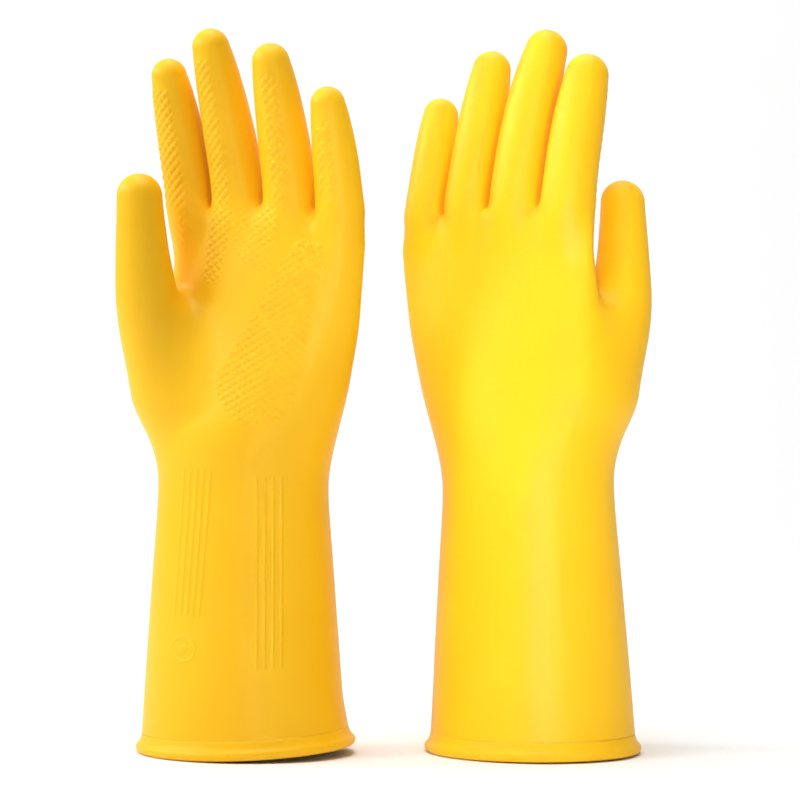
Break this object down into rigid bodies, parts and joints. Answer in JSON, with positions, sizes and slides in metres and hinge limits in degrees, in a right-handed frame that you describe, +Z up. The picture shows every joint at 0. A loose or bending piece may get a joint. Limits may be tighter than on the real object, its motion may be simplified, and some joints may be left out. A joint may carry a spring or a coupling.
{
  "type": "rubber gloves",
  "caption": "Household rubber gloves with long flared cuffs, rolled beads and curled fingers, standing upright on their cuffs; wrists, fingers and thumbs bend.",
  "frame": {"origin": "middle of the footprint's bounding box, on the surface that both gloves stand on", "axes": "+Z up from cuff to fingertips, +X from glove A to glove B, +Y away from the viewer of the palm of glove A"},
  "size_m": [0.2338, 0.0978, 0.3159],
  "materials": {
    "latex_skin": "satin yellow latex, smooth on the back, with a fine raised diamond grip on the palm side"
  },
  "bodies": {
    "glove_a_cuff": {"glove_a_cuff_bead": "latex_skin", "glove_a_cuff": "latex_skin", "glove_a_wrist_band": "latex_skin"},
    "glove_a_hand": {"glove_a_hand": "latex_skin", "glove_a_index_knuckle_band": "latex_skin", "glove_a_middle_knuckle_band": "latex_skin", "glove_a_ring_knuckle_band": "latex_skin", "glove_a_little_knuckle_band": "latex_skin", "glove_a_thumb_base_band": "latex_skin"},
    "glove_a_index_base": {"glove_a_index_base": "latex_skin", "glove_a_index_middle_band": "latex_skin"},
    "glove_a_index_tip": {"glove_a_index_tip": "latex_skin"},
    "glove_a_middle_base": {"glove_a_middle_base": "latex_skin", "glove_a_middle_middle_band": "latex_skin"},
    "glove_a_middle_tip": {"glove_a_middle_tip": "latex_skin"},
    "glove_a_ring_base": {"glove_a_ring_base": "latex_skin", "glove_a_ring_middle_band": "latex_skin"},
    "glove_a_ring_tip": {"glove_a_ring_tip": "latex_skin"},
    "glove_a_little_base": {"glove_a_little_base": "latex_skin", "glove_a_little_middle_band": "latex_skin"},
    "glove_a_little_tip": {"glove_a_little_tip": "latex_skin"},
    "glove_a_thumb_base": {"glove_a_thumb_base": "latex_skin", "glove_a_thumb_tip_band": "latex_skin"},
    "glove_a_thumb_tip": {"glove_a_thumb_tip": "latex_skin"},
    "glove_b_cuff": {"glove_b_cuff_bead": "latex_skin", "glove_b_cuff": "latex_skin", "glove_b_wrist_band": "latex_skin"},
    "glove_b_hand": {"glove_b_hand": "latex_skin", "glove_b_index_knuckle_band": "latex_skin", "glove_b_middle_knuckle_band": "latex_skin", "glove_b_ring_knuckle_band": "latex_skin", "glove_b_little_knuckle_band": "latex_skin", "glove_b_thumb_base_band": "latex_skin"},
    "glove_b_index_base": {"glove_b_index_base": "latex_skin", "glove_b_index_middle_band": "latex_skin"},
    "glove_b_index_tip": {"glove_b_index_tip": "latex_skin"},
    "glove_b_middle_base": {"glove_b_middle_base": "latex_skin", "glove_b_middle_middle_band": "latex_skin"},
    "glove_b_middle_tip": {"glove_b_middle_tip": "latex_skin"},
    "glove_b_ring_base": {"glove_b_ring_base": "latex_skin", "glove_b_ring_middle_band": "latex_skin"},
    "glove_b_ring_tip": {"glove_b_ring_tip": "latex_skin"},
    "glove_b_little_base": {"glove_b_little_base": "latex_skin", "glove_b_little_middle_band": "latex_skin"},
    "glove_b_little_tip": {"glove_b_little_tip": "latex_skin"},
    "glove_b_thumb_base": {"glove_b_thumb_base": "latex_skin", "glove_b_thumb_tip_band": "latex_skin"},
    "glove_b_thumb_tip": {"glove_b_thumb_tip": "latex_skin"}
  },
  "joints": [
    {"name": "glove_a_wrist", "type": "hinge", "parent": "glove_a_cuff", "child": "glove_a_hand", "pos_m": [-0.06183, -0.00237, 0.118], "axis": [0.8988, -0.4384, 0], "range_deg": [-10, 30], "stiffness_Nm_per_rad": 0.3, "deforming": ["glove_a_wrist_band"]},
    {"name": "glove_a_index_knuckle", "type": "hinge", "parent": "glove_a_hand", "child": "glove_a_index_base", "pos_m": [-0.0856, 0.00343, 0.244], "axis": [0.8988, -0.4384, 0], "range_deg": [-15, 45], "stiffness_Nm_per_rad": 0.02, "deforming": ["glove_a_index_knuckle_band"]},
    {"name": "glove_a_index_middle", "type": "hinge", "parent": "glove_a_index_base", "child": "glove_a_index_tip", "pos_m": [-0.08995, -0.00087, 0.271], "axis": [0.8988, -0.4384, 0], "range_deg": [0, 50], "stiffness_Nm_per_rad": 0.01, "deforming": ["glove_a_index_middle_band"]},
    {"name": "glove_a_middle_knuckle", "type": "hinge", "parent": "glove_a_hand", "child": "glove_a_middle_base", "pos_m": [-0.06387, -0.00665, 0.244], "axis": [0.8988, -0.4384, 0], "range_deg": [-15, 45], "stiffness_Nm_per_rad": 0.02, "deforming": ["glove_a_middle_knuckle_band"]},
    {"name": "glove_a_middle_middle", "type": "hinge", "parent": "glove_a_middle_base", "child": "glove_a_middle_tip", "pos_m": [-0.0696, -0.01007, 0.276], "axis": [0.8988, -0.4384, 0], "range_deg": [0, 50], "stiffness_Nm_per_rad": 0.01, "deforming": ["glove_a_middle_middle_band"]},
    {"name": "glove_a_ring_knuckle", "type": "hinge", "parent": "glove_a_hand", "child": "glove_a_ring_base", "pos_m": [-0.0417, -0.01779, 0.244], "axis": [0.8988, -0.4384, 0], "range_deg": [-15, 45], "stiffness_Nm_per_rad": 0.02, "deforming": ["glove_a_ring_knuckle_band"]},
    {"name": "glove_a_ring_middle", "type": "hinge", "parent": "glove_a_ring_base", "child": "glove_a_ring_tip", "pos_m": [-0.04587, -0.02218, 0.273], "axis": [0.8988, -0.4384, 0], "range_deg": [0, 50], "stiffness_Nm_per_rad": 0.01, "deforming": ["glove_a_ring_middle_band"]},
    {"name": "glove_a_little_knuckle", "type": "hinge", "parent": "glove_a_hand", "child": "glove_a_little_base", "pos_m": [-0.0207, -0.02934, 0.244], "axis": [0.8988, -0.4384, 0], "range_deg": [-15, 45], "stiffness_Nm_per_rad": 0.02, "deforming": ["glove_a_little_knuckle_band"]},
    {"name": "glove_a_little_middle", "type": "hinge", "parent": "glove_a_little_base", "child": "glove_a_little_tip", "pos_m": [-0.02328, -0.03496, 0.265], "axis": [0.8988, -0.4384, 0], "range_deg": [0, 50], "stiffness_Nm_per_rad": 0.01, "deforming": ["glove_a_little_middle_band"]},
    {"name": "glove_a_thumb_base", "type": "hinge", "parent": "glove_a_hand", "child": "glove_a_thumb_base", "pos_m": [-0.10318, -0.01578, 0.2], "axis": [0.9135, 0.4067, 0], "range_deg": [-10, 35], "stiffness_Nm_per_rad": 0.02, "deforming": ["glove_a_thumb_base_band"]},
    {"name": "glove_a_thumb_tip", "type": "hinge", "parent": "glove_a_thumb_base", "child": "glove_a_thumb_tip", "pos_m": [-0.10516, -0.02004, 0.224], "axis": [0.9135, 0.4067, 0], "range_deg": [0, 45], "stiffness_Nm_per_rad": 0.01, "deforming": ["glove_a_thumb_tip_band"]},
    {"name": "glove_b_wrist", "type": "hinge", "parent": "glove_b_cuff", "child": "glove_b_hand", "pos_m": [0.06457, -0.00237, 0.118], "axis": [-0.8829, 0.4695, 0], "range_deg": [-10, 30], "stiffness_Nm_per_rad": 0.3, "deforming": ["glove_b_wrist_band"]},
    {"name": "glove_b_index_knuckle", "type": "hinge", "parent": "glove_b_hand", "child": "glove_b_index_base", "pos_m": [0.08308, -0.0063, 0.244], "axis": [-0.8829, 0.4695, 0], "range_deg": [-15, 45], "stiffness_Nm_per_rad": 0.02, "deforming": ["glove_b_index_knuckle_band"]},
    {"name": "glove_b_index_middle", "type": "hinge", "parent": "glove_b_index_base", "child": "glove_b_index_tip", "pos_m": [0.08649, -0.00159, 0.271], "axis": [-0.8829, 0.4695, 0], "range_deg": [0, 50], "stiffness_Nm_per_rad": 0.01, "deforming": ["glove_b_index_middle_band"]},
    {"name": "glove_b_middle_knuckle", "type": "hinge", "parent": "glove_b_hand", "child": "glove_b_middle_base", "pos_m": [0.06172, 0.00452, 0.244], "axis": [-0.8829, 0.4695, 0], "range_deg": [-15, 45], "stiffness_Nm_per_rad": 0.02, "deforming": ["glove_b_middle_knuckle_band"]},
    {"name": "glove_b_middle_middle", "type": "hinge", "parent": "glove_b_middle_base", "child": "glove_b_middle_tip", "pos_m": [0.06627, 0.00842, 0.276], "axis": [-0.8829, 0.4695, 0], "range_deg": [0, 50], "stiffness_Nm_per_rad": 0.01, "deforming": ["glove_b_middle_middle_band"]},
    {"name": "glove_b_ring_knuckle", "type": "hinge", "parent": "glove_b_hand", "child": "glove_b_ring_base", "pos_m": [0.03994, 0.01643, 0.244], "axis": [-0.8829, 0.4695, 0], "range_deg": [-15, 45], "stiffness_Nm_per_rad": 0.02, "deforming": ["glove_b_ring_knuckle_band"]},
    {"name": "glove_b_ring_middle", "type": "hinge", "parent": "glove_b_ring_base", "child": "glove_b_ring_tip", "pos_m": [0.04311, 0.02128, 0.273], "axis": [-0.8829, 0.4695, 0], "range_deg": [0, 50], "stiffness_Nm_per_rad": 0.01, "deforming": ["glove_b_ring_middle_band"]},
    {"name": "glove_b_little_knuckle", "type": "hinge", "parent": "glove_b_hand", "child": "glove_b_little_base", "pos_m": [0.01936, 0.02871, 0.244], "axis": [-0.8829, 0.4695, 0], "range_deg": [-15, 45], "stiffness_Nm_per_rad": 0.02, "deforming": ["glove_b_little_knuckle_band"]},
    {"name": "glove_b_little_middle", "type": "hinge", "parent": "glove_b_little_base", "child": "glove_b_little_tip", "pos_m": [0.0213, 0.03468, 0.265], "axis": [-0.8829, 0.4695, 0], "range_deg": [0, 50], "stiffness_Nm_per_rad": 0.01, "deforming": ["glove_b_little_middle_band"]},
    {"name": "glove_b_thumb_base", "type": "hinge", "parent": "glove_b_hand", "child": "glove_b_thumb_base", "pos_m": [0.10308, 0.01133, 0.2], "axis": [-0.9272, -0.3746, 0], "range_deg": [-10, 35], "stiffness_Nm_per_rad": 0.02, "deforming": ["glove_b_thumb_base_band"]},
    {"name": "glove_b_thumb_tip", "type": "hinge", "parent": "glove_b_thumb_base", "child": "glove_b_thumb_tip", "pos_m": [0.10425, 0.01604, 0.224], "axis": [-0.9272, -0.3746, 0], "range_deg": [0, 45], "stiffness_Nm_per_rad": 0.01, "deforming": ["glove_b_thumb_tip_band"]},
    {"name": "gloves_apart", "type": "slide", "parent": "glove_a_cuff", "child": "glove_b_cuff", "axis": [1, 0, 0], "range_m": [0, 0.1]}
  ]
}
